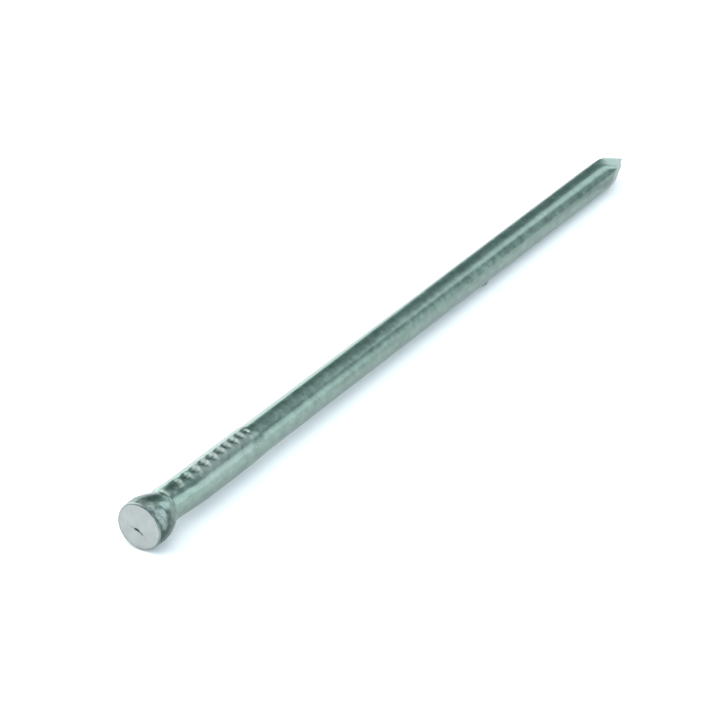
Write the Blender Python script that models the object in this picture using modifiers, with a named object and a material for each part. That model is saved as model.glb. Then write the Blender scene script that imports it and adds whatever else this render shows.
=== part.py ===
"""A lost-head wire nail, 3.1 mm x 80 mm, zinc coated.

The whole nail is one length of cold-formed steel wire, so it is one solid. It lies along X:
the origin is the middle of the striking face, the point is at +X, and +Z is up.
Angles around the nail are turns about +X, counted from straight up.
"""
import math

import bpy
from mathutils import Matrix, Vector

# Overall sizes, in metres
NAIL_LENGTH = 0.0800        # striking face to tip
WIRE_DIAMETER = 0.0031      # plain shank

# Head: a flat face and a bulging flank that curves in ever more steeply to the neck
HEAD_DIAMETER = 0.00443     # widest ring of the head
FACE_INSET = 0.00016        # how far the flat of the striking face stays inside that ring
FACE_EDGE = 0.0001          # rounding between the face and the flank
HEAD_WIDEST_AT = 0.0013     # distance of that ring behind the face
HEAD_HEIGHT = 0.0035        # face to the neck

# Grip: two opposite rows of grooves that the gripping dies press into the wire
GRIP_SETBACK = 0.0018       # neck to the middle of the first groove
GROOVE_COUNT = 10           # grooves in each row
GROOVE_PITCH = 0.00128      # first groove to second
PITCH_RATIO = 0.95          # each pitch to the one before it: the grooves draw together
GROOVE_DEPTH = 0.00018      # at the middle of a groove, below the raised crests
GROOVE_FORM_RADIUS = 0.00042    # round nose of the die tooth that presses a groove
GROOVE_REACH = math.radians(34)     # where a groove fades out, either side of its middle
CREST_RAISE = 0.0001        # how far the pressed zone stands above the shank
GRIP_TURN = math.radians(2)         # middle of the first row; the second is opposite

# Diamond point: four flat facets
POINT_LENGTH = 0.0046       # tip to the back end of a facet
POINT_TURN = math.radians(16)       # middle of the first facet

# Fineness of the round surfaces
ROUND_STEPS = 48            # sides of the wire
CURVE_STEPS = 8             # straight pieces in each curve of the head's outline
RING_STEPS = 12             # sides of a groove cutter's section
SMOOTH_ANGLE = math.radians(30)
MERGE_DISTANCE = 0.00001    # points of the outline on the axis become one

# Look of the coating
COAT_COLOUR = (0.32, 0.42, 0.39, 1.0)
COAT_ROUGHNESS = 0.38

# Worked out from the sizes above
WIRE_RADIUS = WIRE_DIAMETER / 2
HEAD_RADIUS = HEAD_DIAMETER / 2
FACE_RADIUS = HEAD_RADIUS - FACE_INSET
CREST_RADIUS = WIRE_RADIUS + CREST_RAISE
GRIP_START = HEAD_HEIGHT + GRIP_SETBACK
CUTTER_MARGIN = 0.002       # how far a cutter, or the blank, runs past the finished shape


def clear_scene():
    """Remove every object of the open file."""
    for old in list(bpy.data.objects):
        bpy.data.objects.remove(old, do_unlink=True)


def new_collection(name):
    """Add an empty collection to the scene."""
    collection = bpy.data.collections.new(name)
    bpy.context.scene.collection.children.link(collection)
    return collection


def move_to_collection(obj, collection):
    """Take an object out of its collections and put it in one."""
    for old in list(obj.users_collection):
        old.objects.unlink(obj)
    collection.objects.link(obj)


def make_cutter(obj, name, collection):
    """Name a shape, show it as a wire and keep it with the cutters."""
    obj.name = name
    obj.display_type = "WIRE"
    obj.hide_render = True
    move_to_collection(obj, collection)
    return obj


def zinc_coated_steel():
    """Bright zinc coating with a green-grey cast, on drawn steel wire."""
    material = bpy.data.materials.new("zinc_coated_steel")
    material.use_nodes = True
    shader = material.node_tree.nodes["Principled BSDF"]
    shader.inputs["Base Color"].default_value = COAT_COLOUR
    shader.inputs["Metallic"].default_value = 1.0
    shader.inputs["Roughness"].default_value = COAT_ROUGHNESS
    material.diffuse_color = COAT_COLOUR
    return material


def groove_places():
    """Distances of the grooves behind the striking face."""
    places = [GRIP_START]
    pitch = GROOVE_PITCH
    while len(places) < GROOVE_COUNT:
        places.append(places[-1] + pitch)
        pitch *= PITCH_RATIO
    return places


def head_outline():
    """Radius and distance behind the face along the head, from the axis to the neck."""
    edge_radius = FACE_RADIUS + FACE_EDGE
    outline = [(0.0, 0.0), (FACE_RADIUS, 0.0)]
    for step in range(CURVE_STEPS + 1):
        share = step / CURVE_STEPS
        swell = math.sin(share * math.pi / 2)
        behind = FACE_EDGE + share * (HEAD_WIDEST_AT - FACE_EDGE)
        outline.append((edge_radius + swell * (HEAD_RADIUS - edge_radius), behind))
    for step in range(1, CURVE_STEPS + 1):
        share = step / CURVE_STEPS
        behind = HEAD_WIDEST_AT + share * (HEAD_HEIGHT - HEAD_WIDEST_AT)
        outline.append((HEAD_RADIUS + share ** 2 * (WIRE_RADIUS - HEAD_RADIUS), behind))
    return outline


def blank_outline():
    """Outline of the headed wire before it is gripped and pointed."""
    ramp = GRIP_SETBACK * 0.4
    crest_start = GRIP_START - ramp / 2
    crest_end = groove_places()[-1] + ramp / 2
    blank_length = NAIL_LENGTH + CUTTER_MARGIN
    return head_outline() + [
        (WIRE_RADIUS, crest_start - ramp),
        (CREST_RADIUS, crest_start),
        (CREST_RADIUS, crest_end),
        (WIRE_RADIUS, crest_end + ramp),
        (WIRE_RADIUS, blank_length),
        (0.0, blank_length),
    ]


def turn_blank(collection):
    """Turn the outline about the axis and lay the wire along X, head at the origin."""
    outline = blank_outline()
    points = [(radius, 0.0, -behind) for radius, behind in outline]
    edges = [(index, index + 1) for index in range(len(points) - 1)]
    mesh = bpy.data.meshes.new("rail_spike")
    mesh.from_pydata(points, edges, [])
    nail = bpy.data.objects.new("rail_spike", mesh)
    collection.objects.link(nail)
    nail.rotation_euler = (0.0, -math.pi / 2, 0.0)
    screw = nail.modifiers.new("turn", "SCREW")
    screw.steps = ROUND_STEPS
    screw.render_steps = ROUND_STEPS
    screw.use_merge_vertices = True
    screw.merge_threshold = MERGE_DISTANCE
    return nail


def groove_cutters(name, turn, collection):
    """One row of rings, each set off to one side so that its cut fades out round the wire.

    A ring's inner edge lies GROOVE_DEPTH under the crests in the middle of the row and
    meets them at GROOVE_REACH either side, so its circle is larger than the wire and its
    middle lies across the axis from the row.
    """
    offset = GROOVE_DEPTH / (1 - math.cos(GROOVE_REACH))
    inner_radius = CREST_RADIUS + offset * math.cos(GROOVE_REACH)
    across = Matrix.Rotation(turn, 3, "X") @ Vector((0.0, 0.0, -offset))
    rings = []
    for place in groove_places():
        bpy.ops.mesh.primitive_torus_add(
            location=Vector((place, 0.0, 0.0)) + across,
            rotation=(0.0, math.pi / 2, 0.0),
            major_radius=inner_radius + GROOVE_FORM_RADIUS,
            minor_radius=GROOVE_FORM_RADIUS,
            major_segments=ROUND_STEPS,
            minor_segments=RING_STEPS,
        )
        rings.append(bpy.context.active_object)
    with bpy.context.temp_override(active_object=rings[0], selected_editable_objects=rings):
        bpy.ops.object.join()
    return make_cutter(rings[0], name, collection)


def point_form(collection):
    """A four-sided cone around the whole nail, with its apex at the tip."""
    length = NAIL_LENGTH + CUTTER_MARGIN
    flat_distance = length * WIRE_RADIUS / POINT_LENGTH
    corner_distance = flat_distance / math.cos(math.pi / 4)
    bpy.ops.mesh.primitive_cone_add(
        vertices=4, radius1=corner_distance, radius2=0.0, depth=length
    )
    cone = bpy.context.active_object
    middle = Matrix.Translation((NAIL_LENGTH - length / 2, 0.0, 0.0))
    facet_up = Matrix.Rotation(POINT_TURN + math.pi / 4, 4, "X")
    along_nail = Matrix.Rotation(math.pi / 2, 4, "Y")
    cone.matrix_world = middle @ facet_up @ along_nail
    return make_cutter(cone, "point_form", collection)


def form(nail, cutter, operation):
    """Add one Boolean that cuts the nail with a cutter, or keeps what lies inside it."""
    boolean = nail.modifiers.new(cutter.name, "BOOLEAN")
    boolean.operation = operation
    boolean.solver = "EXACT"
    boolean.object = cutter


def finish_mesh(nail):
    """Apply the modifiers, then shade the round surfaces smooth between sharp edges."""
    bpy.context.view_layer.update()
    evaluated = nail.evaluated_get(bpy.context.evaluated_depsgraph_get())
    mesh = bpy.data.meshes.new_from_object(evaluated)
    nail.modifiers.clear()
    nail.data = mesh
    mesh.materials.clear()
    mesh.materials.append(zinc_coated_steel())
    mesh.shade_smooth()
    mesh.set_sharp_from_angle(angle=SMOOTH_ANGLE)


clear_scene()
parts = new_collection("rail_spike")
cutters = new_collection("cutters")

rail_spike = turn_blank(parts)
form(rail_spike, point_form(cutters), "INTERSECT")
form(rail_spike, groove_cutters("first_grooves", GRIP_TURN, cutters), "DIFFERENCE")
form(rail_spike, groove_cutters("second_grooves", GRIP_TURN + math.pi, cutters), "DIFFERENCE")
finish_mesh(rail_spike)
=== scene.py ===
import math
import random

import bmesh
import bpy
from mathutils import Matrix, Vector, noise


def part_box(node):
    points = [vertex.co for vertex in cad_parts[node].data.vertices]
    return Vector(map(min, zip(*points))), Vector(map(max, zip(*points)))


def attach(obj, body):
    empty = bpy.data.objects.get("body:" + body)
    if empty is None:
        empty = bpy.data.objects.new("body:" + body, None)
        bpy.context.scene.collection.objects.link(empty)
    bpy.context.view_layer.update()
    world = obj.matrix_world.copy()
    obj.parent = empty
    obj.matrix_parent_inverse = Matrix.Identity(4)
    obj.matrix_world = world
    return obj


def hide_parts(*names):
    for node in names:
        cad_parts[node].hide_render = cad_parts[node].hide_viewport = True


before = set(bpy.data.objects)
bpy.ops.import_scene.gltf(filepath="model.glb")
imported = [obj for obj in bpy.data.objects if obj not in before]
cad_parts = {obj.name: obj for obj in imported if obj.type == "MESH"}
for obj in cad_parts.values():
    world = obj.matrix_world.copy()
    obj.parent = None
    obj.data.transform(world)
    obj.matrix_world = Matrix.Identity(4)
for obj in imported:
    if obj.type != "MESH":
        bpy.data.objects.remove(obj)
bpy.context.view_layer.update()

# ---------------------------------------------------------------------------------------
# The nail.  One length of drawn steel wire, zinc coated: the head is upset in a die, the
# gripping dies press two rows of grooves under it, and cutters pinch off the point.  It
# lies along X with the striking face at the origin, and it replaces the CAD solid.
# ---------------------------------------------------------------------------------------

face_low, tip_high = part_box("rail_spike")
NAIL_LENGTH = tip_high.x - face_low.x
HEAD_RADIUS = (tip_high.z - face_low.z) / 2
WIRE_RADIUS = 0.00155
SIDES = 144                 # corners of each ring round the wire

FACE_INSET = 0.00016        # how far the face's edge stays inside the head's widest ring
FACE_RADIUS = HEAD_RADIUS - FACE_INSET
FACE_THICKNESS = 0.000005   # what lies nearer than this is the flat of the face
FACE_RINGS = 40             # rings across the striking face, 0.05 mm apart
HEAD_WIDEST_AT = 0.0013     # distance of the widest ring behind the face
HEAD_HEIGHT = 0.0035        # face to the neck
HEAD_REACH = 0.0075         # past this place the heading die leaves no trace

GRIP_START = 0.0053         # face to the middle of the first groove
GROOVE_COUNT = 10           # grooves in each row
GROOVE_PITCH = 0.00128      # first groove to second
PITCH_RATIO = 0.95          # each pitch to the one before it
GROOVE_DEPTH = 0.00018
CREST_HEIGHT = 0.0001       # how far the pressed zone stands above the shank
GRIP_TURN = 2               # degrees, middle of the first row; the second is opposite
GRIP_SPREAD = math.radians(10.5)    # turn in which a groove loses over half its depth

POINT_LENGTH = 0.0046       # tip to the back end of a facet
FACET_TURNS = (16, 105, 195, 286)    # degrees: the cutters don't quite meet square
TIP_LOSS = 0.00012          # how much the tip falls short of where the facets would meet
POINT_ROUNDING = 0.00009    # softness of the edges between the facets and the wire


def soft_least(lengths, softness):
    """Smallest of some lengths, with a rounded change from one to the next."""
    least = min(lengths)
    total = sum(math.exp((least - length) / softness) for length in lengths)
    return least - softness * math.log(total)


def head_rings():
    """Place behind the face and radius of each ring, from the face's edge to the neck."""
    # a crisp edge, then a straight lip whose rings are 0.01 mm apart
    rings = [
        (0.0, FACE_RADIUS),
        (0.00001, FACE_RADIUS + 0.000012),
        (0.00003, FACE_RADIUS + 0.00002),
    ]
    edge, edge_radius = rings[-1]
    for step in range(1, 13):
        rings.append((edge + step * 0.00001, edge_radius + step * 0.000006))
    # the barrel swells to its widest ring
    start, shoulder = rings[-1]
    swell_rings = 24
    for step in range(1, swell_rings + 1):
        share = step / swell_rings
        swell = math.sin(share * math.pi / 2) * (HEAD_RADIUS - shoulder)
        rings.append((start + share * (HEAD_WIDEST_AT - start), shoulder + swell))
    # then it curves in to the wire, which it meets in a tight fillet
    neck_rings, fillet_length, fillet_softness = 40, 0.0004, 0.00003
    for step in range(1, neck_rings + 1):
        share = step / neck_rings
        place = HEAD_WIDEST_AT + share * (HEAD_HEIGHT + fillet_length - HEAD_WIDEST_AT)
        curve = (place - HEAD_WIDEST_AT) / (HEAD_HEIGHT - HEAD_WIDEST_AT)
        radius = HEAD_RADIUS - curve ** 2 * (HEAD_RADIUS - WIRE_RADIUS)
        rings.append((place, -soft_least([-radius, -WIRE_RADIUS], fillet_softness)))
    return rings


def groove_places():
    """Distances of the grooves behind the face: they draw together away from the head."""
    places = [GRIP_START]
    pitch = GROOVE_PITCH
    while len(places) < GROOVE_COUNT:
        places.append(places[-1] + pitch)
        pitch *= PITCH_RATIO
    return places


def select_faces(chosen):
    """Select the faces of the mesh in edit mode for which chosen(face) holds."""
    mesh = bmesh.from_edit_mesh(bpy.context.edit_object.data)
    for face in mesh.faces:
        face.select_set(False)
    mesh.select_flush(False)
    for face in mesh.faces:
        if chosen(face):
            face.select_set(True)
    mesh.select_flush(True)
    bmesh.update_edit_mesh(bpy.context.edit_object.data)


def select_edges(chosen):
    """Select the edges of the mesh in edit mode for which chosen(edge) holds."""
    mesh = bmesh.from_edit_mesh(bpy.context.edit_object.data)
    for edge in mesh.edges:
        edge.select_set(False)
    mesh.select_flush(False)
    for edge in mesh.edges:
        if chosen(edge):
            edge.select_set(True)
    bmesh.update_edit_mesh(bpy.context.edit_object.data)


def lies_between(edge, start, end):
    """Tell whether an edge runs along the wire exactly from start to end."""
    low, high = sorted(vert.co.x for vert in edge.verts)
    return abs(low - start) < 1e-6 and abs(high - end) < 1e-6


def draw_wire():
    """Extrude a disc ring by ring into the headed wire, then cut it into fine rings."""
    rings = head_rings()
    grip_start = GRIP_START - 0.0013
    grip_end = groove_places()[-1] + 0.0027
    point_start = NAIL_LENGTH - POINT_LENGTH - 0.0006
    for place in (grip_start, grip_end, point_start, NAIL_LENGTH):
        rings.append((place, WIRE_RADIUS))
    bpy.ops.object.select_all(action="DESELECT")
    bpy.ops.mesh.primitive_circle_add(
        vertices=SIDES, radius=FACE_RADIUS, fill_type="NGON", rotation=(0, -math.pi / 2, 0)
    )
    bpy.ops.object.transform_apply(rotation=True)
    bpy.ops.object.mode_set(mode="EDIT")
    bpy.ops.mesh.select_mode(type="FACE")
    for (place, radius), (next_place, next_radius) in zip(rings, rings[1:]):
        bpy.ops.mesh.extrude_region_move(
            TRANSFORM_OT_translate={"value": (next_place - place, 0, 0)}
        )
        ratio = next_radius / radius
        bpy.ops.transform.resize(value=(1, ratio, ratio), center_override=(next_place, 0, 0))
    bpy.ops.mesh.select_mode(type="EDGE")
    # the rings stand closest where the grooves and the facets need them
    for start, end, spacing in (
        (grip_start, grip_end, 0.000065),
        (grip_end, point_start, 0.00035),
        (point_start, NAIL_LENGTH, 0.00007),
    ):
        select_edges(lambda edge: lies_between(edge, start, end))
        bpy.ops.mesh.subdivide(number_cuts=round((end - start) / spacing))
    bpy.ops.mesh.select_mode(type="FACE")
    select_faces(lambda face: abs(face.calc_center_median().x) < 1e-7)
    for ring in range(FACE_RINGS):
        bpy.ops.mesh.inset(thickness=FACE_RADIUS / (FACE_RINGS + 1))
    bpy.ops.object.mode_set(mode="OBJECT")
    return bpy.context.active_object


def around(turn):
    """Unit vector across the nail at a turn in degrees about +X, counted from straight up."""
    turn = math.radians(turn)
    return Vector((0.0, -math.sin(turn), math.cos(turn)))


def off_axis(point):
    """Where a point lies across the nail, seen from the axis."""
    return Vector((0.0, point.y, point.z))


def turn_between(first, second):
    """Angle between two unit vectors."""
    return math.acos(max(min(first.dot(second), 1.0), -1.0))


def ease(value):
    """Smooth step from 0 to 1."""
    value = min(max(value, 0.0), 1.0)
    return value * value * (3 - 2 * value)


def rise(value, start, length):
    """Smooth step from 0 to 1 that begins at start and is complete a length later."""
    return ease((value - start) / length)


def bell(value):
    """Smooth hump: 1 at 0, and nearly nothing past 2."""
    return math.exp(-value * value)


def hump(value, middle, width):
    """Smooth hump of height 1 round a middle."""
    return bell((value - middle) / width)


def die_teeth(wear):
    """One row of die teeth, a little uneven: place, half width, depth and lean of each."""
    places = groove_places()
    pitches = [after - before for before, after in zip(places, places[1:])]
    pitches.append(pitches[-1])
    teeth = []
    for place, pitch in zip(places, pitches):
        shift = wear.uniform(-1, 1) * 0.00004
        depth = wear.uniform(0.75, 1.15) * GROOVE_DEPTH
        half_width = wear.uniform(0.38, 0.46) * pitch
        lean = wear.uniform(-1, 1) * 0.04
        teeth.append((place + shift, half_width, depth, lean))
    return teeth


def sink_under_teeth(place, offset, fade, teeth):
    """Depth of the flat-bottomed grooves at a place, an offset to the side of their middle."""
    sunk = 0.0
    for tooth_place, half_width, depth, lean in teeth:
        middle_here = tooth_place + lean * offset * WIRE_RADIUS
        # a groove is widest in its middle
        off = abs(place - middle_here) / (half_width * (0.6 + 0.4 * fade))
        sunk = max(sunk, depth * ease(1.6 * (1 - off)))
    return sunk


def press_grip(nail):
    """Press both rows of grooves: the wire swells all round, and sinks under each tooth.

    The second die has bitten less deep than the first.  Low on the side the swelling lies
    further from the head, and its slopes are longer.
    """
    wear = random.Random(7)
    rows = []
    for turn, bite in ((GRIP_TURN, 1.0), (GRIP_TURN + 180, 0.25)):
        rows.append((around(turn), around(turn + 90), bite, die_teeth(wear)))
    swell_start, swell_end = groove_places()[0] - 0.0012, groove_places()[-1] + 0.0008
    low_shift = 0.0015
    low_middle = around(132)
    painted_shade_and_dark_marks = nail.data.attributes["painted_shade_and_dark_marks"].data
    wear_and_painted_highlight = nail.data.attributes["wear_and_painted_highlight"].data
    for vert in nail.data.vertices:
        place = vert.co.x
        if not swell_start < place < swell_end + low_shift:
            continue
        outward = off_axis(vert.co).normalized()
        uneven = 1 + 0.35 * noise.noise(vert.co * 2200)
        low_side = (1 + outward.dot(low_middle)) / 2
        place_here = place - low_shift * low_side ** 2
        pressed = ease((place_here - swell_start) / (0.0009 + 0.0014 * low_side))
        pressed *= ease((swell_end - place_here) / (0.0006 + 0.0026 * low_side))
        # painted highlight: the top of the pressed zone takes the light matt tone
        wear_and_painted_highlight[vert.index].value = 0.3 * pressed * ease(outward.z)
        vert.co += outward * CREST_HEIGHT * pressed
        for middle, beside, bite, teeth in rows:
            apart = turn_between(outward, middle) / GRIP_SPREAD
            if apart > 4:
                continue
            # deep in the middle of the row, with a shallow trace running on round the wire
            fade = 0.86 * bell(apart) + 0.14 * bell(apart / 3)
            sunk = sink_under_teeth(place, outward.dot(beside), fade, teeth)
            vert.co -= outward * fade * bite * uneven * sunk
            # painted shade lies along the row's lower edge, and most of it in the grooves
            lower_down = outward.dot(beside) / math.sin(GRIP_SPREAD) - 0.35
            groove_shade = bell(apart) * bell(lower_down) * bite * pressed
            painted_shade_and_dark_marks[vert.index].value += groove_shade * (0.28 + 0.32 * sunk / GROOVE_DEPTH)


def shape_neck(vert, place, outward, top, painted_shade_and_dark_marks, wear_and_painted_highlight):
    """Bend one point of the neck: the die leaves a hump and a small ridge on its top.
    Its top edge gets a painted highlight, and a stripe of painted shade lies beside it.
    """
    vert.co += top * 0.00009 * hump(place, 0.0043, 0.0011)
    vert.co -= outward * 0.00006 * ease(outward.dot(top)) * hump(place, 0.0026, 0.0008)
    on_neck = rise(place, 0.0033, 0.0005) - rise(place, 0.0041, 0.0009)
    vert.co += outward * CREST_HEIGHT * ease(outward.dot(top) + 0.3) * on_neck
    vert.co += outward * 0.000025 * ease(outward.dot(top)) * hump(place, 0.00485, 0.0001)
    # painted highlight: a light matt patch on the neck's top edge
    on_top = rise(outward.dot(top), 0.75, 0.2)
    wear_and_painted_highlight[vert.index].value = 0.6 * on_top * hump(place, 0.0046, 0.0005)
    # painted shade: a dark stripe on the neck beside its top
    beside_top = hump(outward.dot(around(11)), 1, 0.02)
    painted_shade_and_dark_marks[vert.index].value += 0.4 * beside_top * hump(place, 0.0043, 0.0007)


def mark_flank(vert, place, outward, painted_shade_and_dark_marks, wear_and_painted_highlight):
    """Mark one point of the flank with the seam, the rolled lip, fine folds and painted shade.
    """
    lip_middle = around(2)
    # the seam between the flattened face and the lip behind it
    seam = rise(outward.dot(lip_middle), 0.25, 0.4) * hump(place, 0.00009, 0.00004)
    rolled = rise(outward.dot(around(-30)), 0.55, 0.35)
    vert.co -= outward * (0.00002 + 0.00005 * rolled) * seam
    # painted shade darkens the seam
    painted_shade_and_dark_marks[vert.index].value += 0.5 * seam
    folds = noise.ridged_multi_fractal(vert.co * 1500, 0.9, 2.1, 3, 1.0, 1.6)
    # painted shade: where the lip isn't rolled, the corner behind the seam is darkened
    corner = (1 - rolled) * rise(outward.dot(lip_middle), 0.2, 0.4)
    painted_shade_and_dark_marks[vert.index].value += 0.4 * corner * hump(place, 0.0002, 0.0002)
    # shallow folds all over the flank, and deep ones in the crumpled patch
    on_flank = rise(place, 0.0001, 0.00018) * (1 - rise(place, 0.002, 0.0014))
    vert.co -= outward * 0.000012 * folds * on_flank
    crumpled = flank_patch(place, outward)
    vert.co -= outward * 0.00006 * folds * crumpled
    wear_and_painted_highlight[vert.index].value = 0.4 * crumpled * ease(1.8 - folds)
    # painted shade in the hollows of the deep folds
    painted_shade_and_dark_marks[vert.index].value += 0.45 * crumpled * rise(folds, 1.2, 0.5)
    # painted shade on the top and low on the side, but not on the bright lip
    below = 0.8 * rise(outward.dot(around(100)), 0.5, 0.4)
    above = 0.65 * rise(outward.dot(around(-35)), 0.5, 0.3)
    dark = on_flank * (below + above) * (1 - 0.8 * crumpled)
    lip = rolled * hump(place, 0.0002, 0.00008)
    painted_shade_and_dark_marks[vert.index].value += dark * (0.6 + 0.3 * min(folds, 2.0)) * (1 - lip)
    # painted highlight: the rolled lip takes the light matt tone
    wear_and_painted_highlight[vert.index].value += 0.8 * lip


def flank_patch(place, outward):
    """Share of the crumpled patch on the head's flank that a spot belongs to."""
    apart = turn_between(outward, around(56)) / math.radians(24)
    behind = (place - 0.0009) / 0.0006
    wander = 0.35 * noise.noise(Vector((place * 1800, outward.y * 3, outward.z * 3)))
    return ease(1.5 - math.hypot(apart, behind) + wander)


def face_marks(over, up):
    """Depth of the marks in the striking face: a cleft and fine scratches."""
    depth = 0.0
    # start and end of each mark on the face, and its depth and width
    for start, end, deep, width in (
        ((-0.00081, -0.00083), (-0.00044, -0.00063), 0.00002, 0.00006),
        ((-0.00044, -0.00063), (-0.00006, -0.00046), 0.00003, 0.00006),
        ((-0.00004, -0.00044), (0.00022, -0.00029), 0.00018, 0.000085),
        ((0.00022, -0.00029), (0.00072, -0.00018), 0.00007, 0.00006),
        ((0.00072, -0.00018), (0.00126, -0.00018), 0.000012, 0.00006),
        ((0.00126, -0.00018), (0.00192, 0.00018), 0.000012, 0.00006),
    ):
        start, end, here = Vector(start), Vector(end), Vector((over, up))
        share = min(max((here - start).dot(end - start) / (end - start).length_squared, 0), 1)
        gap = (here - start.lerp(end, share)).length
        depth = max(depth, deep * bell(gap / width))
    return depth


def upset_head(nail):
    """Give the head what the heading die leaves: a leaning face, a rolled lip and folds."""
    top, side = around(-48), around(42)
    set_back, slope = 0.00024, 0.096    # the face leans by 5.5 degrees
    painted_shade_and_dark_marks = nail.data.attributes["painted_shade_and_dark_marks"].data
    wear_and_painted_highlight = nail.data.attributes["wear_and_painted_highlight"].data
    for vert in nail.data.vertices:
        place = vert.co.x
        if place > HEAD_REACH:
            continue
        across = off_axis(vert.co)
        outward = across.normalized() if across.length > 1e-7 else top
        near_face = 1 - rise(place, 0.0, 0.0024)
        vert.co.x += (set_back + slope * across.dot(side)) * near_face
        shape_neck(vert, place, outward, top, painted_shade_and_dark_marks, wear_and_painted_highlight)
        if FACE_THICKNESS < place < HEAD_HEIGHT + 0.0001:
            mark_flank(vert, place, outward, painted_shade_and_dark_marks, wear_and_painted_highlight)
        if place < FACE_THICKNESS:
            mark = face_marks(across.dot(-top), across.dot(side))
            rim = max(across.length / FACE_RADIUS - 0.8, 0) / 0.2
            vert.co.x += mark + 0.00004 * rim ** 2 + 0.000005 * noise.noise(across * 1800)
            # the face is darker the deeper its marks are
            painted_shade_and_dark_marks[vert.index].value = ease(mark / 0.00008)
            wear_and_painted_highlight[vert.index].value = 1.0


def roughen(nail):
    """Leave the wire as drawn and dipped: slow waves, small lumps and one bead of zinc."""
    bead = Vector((0.0514, 0.0, 0.0)) + around(131) * WIRE_RADIUS
    bead_height, bead_width = 0.00023, 0.0003
    for vert in nail.data.vertices:
        outward = off_axis(vert.co).normalized()
        if vert.co.x > 0.0005:
            long_wave = noise.noise(Vector((vert.co.x * 180, vert.co.y * 500, vert.co.z * 500)))
            lump = noise.noise(vert.co * 1500)
            vert.co += outward * (0.000008 * long_wave + 0.0000016 * lump)
        vert.co += outward * bead_height * bell((vert.co - bead).length / bead_width)


def pinch_point(nail):
    """Pinch the end of the wire between four flat cutters that meet at the tip."""
    facets = [around(turn) for turn in FACET_TURNS]
    rounded_side, fin_side = around(-60), around(138)
    wear_and_painted_highlight = nail.data.attributes["wear_and_painted_highlight"].data
    for vert in nail.data.vertices:
        left = NAIL_LENGTH - vert.co.x
        if left > POINT_LENGTH + 0.0012:
            continue
        across = off_axis(vert.co)
        outward = across.normalized()
        flat_distance = (left + TIP_LOSS) * WIRE_RADIUS / POINT_LENGTH
        limits = [across.length]
        for facet in facets:
            facing = outward.dot(facet)
            if facing > 0.2:
                limits.append(flat_distance / facing)
        softness = POINT_ROUNDING + 0.00016 * ease(outward.dot(rounded_side))
        radius = max(soft_least(limits, min(softness, 0.12 * flat_distance + 1e-6)), 0.00001)
        wear_and_painted_highlight[vert.index].value = 0.45 * ease((across.length - radius) / 0.0001)
        # a thin fin of flash where two of the cutters meet
        apart = turn_between(outward, fin_side) / math.radians(4)
        fin = bell(apart) * rise(left, 0.0003, 0.0006) * (1 - rise(left, 0.0028, 0.0012))
        radius += 0.00022 * fin
        wear_and_painted_highlight[vert.index].value += 0.9 * ease(3 * fin)
        vert.co = Vector((vert.co.x, 0.0, 0.0)) + outward * radius


def paint_side_shade(nail):
    """Paint a faint stripe of shade low on the side of the shank, wider near the point."""
    stripe_start = 0.02
    painted_shade_and_dark_marks = nail.data.attributes["painted_shade_and_dark_marks"].data
    for vert in nail.data.vertices:
        place = vert.co.x
        if not stripe_start < place < NAIL_LENGTH - 0.0015:
            continue
        near_point = rise(place, 0.0715, 0.004)
        middle = around(71 + 20 * near_point)
        apart = math.degrees(turn_between(off_axis(vert.co).normalized(), middle))
        amount = 0.2 * rise(place, stripe_start, 0.008) + 0.22 * rise(place, 0.062, 0.008)
        painted_shade_and_dark_marks[vert.index].value += amount * bell(apart / (11 + 15 * near_point))


nail = draw_wire()
nail.name = "zinc_coated_nail"
nail.data.attributes.new("painted_shade_and_dark_marks", "FLOAT", "POINT")
nail.data.attributes.new("wear_and_painted_highlight", "FLOAT", "POINT")
press_grip(nail)
upset_head(nail)
roughen(nail)
pinch_point(nail)
paint_side_shade(nail)
bpy.ops.object.shade_smooth_by_angle(angle=math.radians(35))


def colour(hex_value):
    """Linear colour of an sRGB hex value."""
    parts = [int(hex_value[place:place + 2], 16) / 255 for place in (0, 2, 4)]
    linear = [
        part / 12.92 if part <= 0.04045 else ((part + 0.055) / 1.055) ** 2.4 for part in parts
    ]
    return (*linear, 1.0)


def add_node(tree, kind, inputs=(), **settings):
    """Add a node: settings are its own values, inputs are socket values or links."""
    made = tree.nodes.new(kind)
    for name, value in settings.items():
        setattr(made, name, value)
    for socket, source in dict(inputs).items():
        if isinstance(source, bpy.types.NodeSocket):
            tree.links.new(source, made.inputs[socket])
        else:
            made.inputs[socket].default_value = source
    return made


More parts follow.
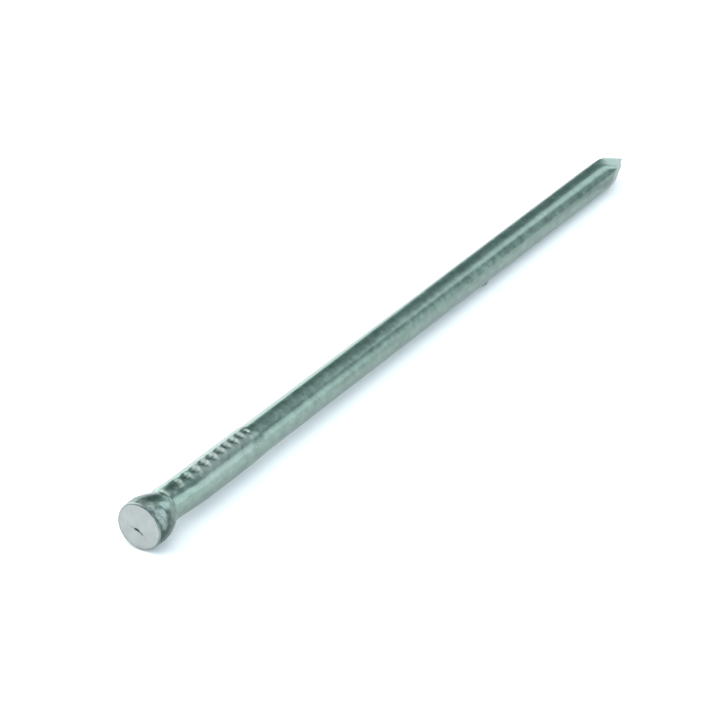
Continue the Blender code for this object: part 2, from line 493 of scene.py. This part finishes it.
def zinc_on_drawn_steel():
    """Thin electroplated zinc over drawn wire: satin metal with a green-grey cast.

    The coat is glossy along the shank, with draw lines running along it and cloudy patches
    of about a millimetre.  Where tools wore on it, on the face and the head's flank, it is
    matt and neutral, and the same light tone is a painted highlight on the lip and on the
    tops of the grip and the neck.  The grooves, creases, folds, the flank's top and low
    side and a stripe low on the shank are darkened with painted shade, and the marks in
    the face darken with their depth.
    """
    material = bpy.data.materials.new("zinc_on_drawn_steel")
    material.use_nodes = True
    tree = material.node_tree
    shader = tree.nodes["Principled BSDF"]
    shader.inputs["Metallic"].default_value = 1.0
    where = add_node(tree, "ShaderNodeTexCoord").outputs["Object"]
    painted_shade_and_dark_marks = add_node(tree, "ShaderNodeAttribute", attribute_name="painted_shade_and_dark_marks").outputs["Fac"]
    wear_and_painted_highlight = add_node(tree, "ShaderNodeAttribute", attribute_name="wear_and_painted_highlight").outputs["Fac"]

    # cloudy patches in the coat, 0.9 mm across
    cloud = add_node(tree, "ShaderNodeTexNoise",
                     {"Vector": where, "Scale": 1 / 0.0009, "Detail": 4.0, "Roughness": 0.6})
    # draw lines: 0.22 mm wide with finer ones in them, and 25 times as long
    along = add_node(tree, "ShaderNodeMapping", {"Vector": where, "Scale": (0.04, 1.0, 1.0)})
    lines = add_node(tree, "ShaderNodeTexNoise",
                     {"Vector": along.outputs["Vector"], "Scale": 1 / 0.00022, "Detail": 3.0})
    # grain of the plating, drawn coarser than its real few hundredths so that it shows
    grain = add_node(tree, "ShaderNodeTexNoise",
                     {"Vector": where, "Scale": 1 / 0.00016, "Detail": 2.0, "Roughness": 0.7})

    # both tones run from the darkest to the lightest of the clouds
    darkest, lightest = 0.32, 0.68
    coat = add_node(tree, "ShaderNodeValToRGB", {"Fac": cloud.outputs["Fac"]})
    rubbed_and_highlit_tone = add_node(tree, "ShaderNodeValToRGB", {"Fac": cloud.outputs["Fac"]})
    for tone, dark, light in ((coat, "77867E", "8A9B93"), (rubbed_and_highlit_tone, "A1A5A3", "ADAFAD")):
        tone.color_ramp.elements[0].position = darkest
        tone.color_ramp.elements[0].color = colour(dark)
        tone.color_ramp.elements[1].position = lightest
        tone.color_ramp.elements[1].color = colour(light)
    # the light tone is wear on the face, folds and point, and a painted highlight on the lip
    # and on the tops of the grip and the neck
    bare_and_highlit = add_node(tree, "ShaderNodeMix",
                    {"Factor": wear_and_painted_highlight, "A": coat.outputs["Color"], "B": rubbed_and_highlit_tone.outputs["Color"]},
                    data_type="RGBA")
    # painted shade, and the face's marks, mix the coat towards the dark grey-green 26302E
    shade_and_marks = add_node(tree, "ShaderNodeMix",
                     {"Factor": painted_shade_and_dark_marks, "A": bare_and_highlit.outputs["Result"], "B": colour("26302E")},
                     data_type="RGBA")
    tree.links.new(shade_and_marks.outputs["Result"], shader.inputs["Base Color"])

    gloss = add_node(tree, "ShaderNodeMapRange",
                     {"Value": cloud.outputs["Fac"], "From Min": darkest, "From Max": lightest,
                      "To Min": 0.2, "To Max": 0.28})
    dull = add_node(tree, "ShaderNodeMix",
                    {"Factor": wear_and_painted_highlight, "A": gloss.outputs["Result"], "B": 0.45},
                    data_type="FLOAT")
    tree.links.new(dull.outputs["Result"], shader.inputs["Roughness"])

    # the clouds stand 4 thousandths of a millimetre high, the lines and the grain under 2
    waves = add_node(tree, "ShaderNodeBump",
                     {"Height": cloud.outputs["Fac"], "Strength": 1.0, "Distance": 0.000004})
    drawn = add_node(tree, "ShaderNodeBump",
                     {"Height": lines.outputs["Fac"], "Normal": waves.outputs["Normal"],
                      "Strength": 1.0, "Distance": 0.0000016})
    plated = add_node(tree, "ShaderNodeBump",
                      {"Height": grain.outputs["Fac"], "Normal": drawn.outputs["Normal"],
                       "Strength": 1.0, "Distance": 0.0000018})
    tree.links.new(plated.outputs["Normal"], shader.inputs["Normal"])
    return material


nail.data.materials.append(zinc_on_drawn_steel())
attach(nail, "root")
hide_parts("rail_spike")

# ---------------------------------------------------------------------------------------
# The table.  A white matt board.  The nail lies on its head's rim and the end of its shank,
# so in the nail's own frame the board leans by half a degree.
# ---------------------------------------------------------------------------------------

rim_bottom = Vector((HEAD_WIDEST_AT, 0.0, -HEAD_RADIUS))
shank_bottom = Vector((NAIL_LENGTH - POINT_LENGTH, 0.0, -WIRE_RADIUS))
lean = math.atan2(shank_bottom.z - rim_bottom.z, shank_bottom.x - rim_bottom.x)
bpy.ops.object.select_all(action="DESELECT")
bpy.ops.mesh.primitive_plane_add(size=3.0, location=rim_bottom, rotation=(0.0, -lean, 0.0))
table = bpy.context.active_object
table.name = "table"
board = bpy.data.materials.new("white_matt_board")
board.use_nodes = True
board_shader = board.node_tree.nodes["Principled BSDF"]
board_shader.inputs["Base Color"].default_value = colour("F6F5F2")
board_shader.inputs["Roughness"].default_value = 0.9
table.data.materials.append(board)

# ---------------------------------------------------------------------------------------
# Studio.  Seven softboxes: the overhead, back and front ones light the board, and the four
# small ones round the nail show as bright stripes along the shank and the point's facets.
# ---------------------------------------------------------------------------------------


def softbox(name, toward, distance, size, radiance, tint):
    """Add a rectangular light that faces the middle of the nail."""
    light = bpy.data.lights.new(name, "AREA")
    light.shape = "RECTANGLE"
    light.size, light.size_y = size
    light.energy = radiance * math.pi * size[0] * size[1]
    light.color = colour(tint)[:3]
    lamp = bpy.data.objects.new(name, light)
    bpy.context.scene.collection.objects.link(lamp)
    toward = Vector(toward).normalized()
    lamp.location = Vector((NAIL_LENGTH / 2, 0.0, 0.0)) + toward * distance
    lamp.rotation_euler = toward.to_track_quat("Z", "Y").to_euler()


softbox("overhead_softbox", (-0.05, 0.22, 0.97), 0.7, (1.0, 1.0), 1.1, "FFFDFB")
softbox("back_softbox", (-0.16, 0.87, 0.47), 0.8, (1.4, 0.9), 1.25, "FFFDFB")
softbox("front_softbox", (-0.30, -0.78, 0.55), 0.8, (1.0, 0.6), 1.75, "D8ECFF")
softbox("point_softbox", (0.87, -0.17, 0.37), 0.6, (0.26, 0.42), 1.6, "F4FCFF")
softbox("tip_softbox", (0.955, 0.27, 0.07), 0.6, (0.16, 0.13), 1.6, "E4FFFA")
softbox("side_softbox", (0.530, -0.786, 0.317), 0.6, (0.24, 0.36), 1.7, "F4FCFF")
softbox("left_softbox", (0.52, 0.84, 0.175), 0.6, (0.28, 0.22), 2.2, "F4FCFF")

# the room: bright behind the head, dimmer beyond the point, and darkest to the left there
world = bpy.data.worlds.new("studio_walls")
bpy.context.scene.world = world
world.use_nodes = True
walls = world.node_tree
toward = add_node(walls, "ShaderNodeTexCoord").outputs["Generated"]
parts = add_node(walls, "ShaderNodeSeparateXYZ", {"Vector": toward})
leftward = add_node(walls, "ShaderNodeMapRange",
                    {"Value": parts.outputs["Y"], "From Min": 0.15, "From Max": 0.38})
headward = add_node(walls, "ShaderNodeMapRange",
                    {"Value": parts.outputs["X"], "From Min": 0.55, "From Max": 0.25})
beyond = add_node(walls, "ShaderNodeMix",
                  {"Factor": leftward.outputs["Result"], "A": (0.42, 0.56, 0.60, 1.0),
                   "B": (0.25, 0.38, 0.38, 1.0)}, data_type="RGBA")
room = add_node(walls, "ShaderNodeMix",
                {"Factor": headward.outputs["Result"], "A": beyond.outputs["Result"],
                 "B": (0.82, 0.92, 1.03, 1.0)}, data_type="RGBA")
walls.links.new(room.outputs["Result"], walls.nodes["Background"].inputs["Color"])

# ---------------------------------------------------------------------------------------
# Camera.  A long lens, close to the nail, over the head's left side.
# ---------------------------------------------------------------------------------------

CAMERA_TURN = math.radians(-54.85)
CAMERA_HEIGHT = math.radians(32.49)
CAMERA_DISTANCE = 0.2239
CAMERA_TARGET = Vector((0.0321, 0.0, -0.00017))
camera_data = bpy.data.cameras.new("camera")
camera_data.sensor_width = 36.0
camera_data.lens = 121.95
camera_data.clip_start = 0.01
camera_data.clip_end = 10.0
camera = bpy.data.objects.new("camera", camera_data)
bpy.context.scene.collection.objects.link(camera)
back = Vector((
    math.sin(CAMERA_TURN) * math.cos(CAMERA_HEIGHT),
    -math.cos(CAMERA_TURN) * math.cos(CAMERA_HEIGHT),
    math.sin(CAMERA_HEIGHT),
))
camera.location = CAMERA_TARGET + back * CAMERA_DISTANCE
camera.rotation_euler = (math.pi / 2 - CAMERA_HEIGHT, 0.0, CAMERA_TURN)
bpy.context.scene.camera = camera
bpy.context.scene.view_settings.view_transform = "Standard"
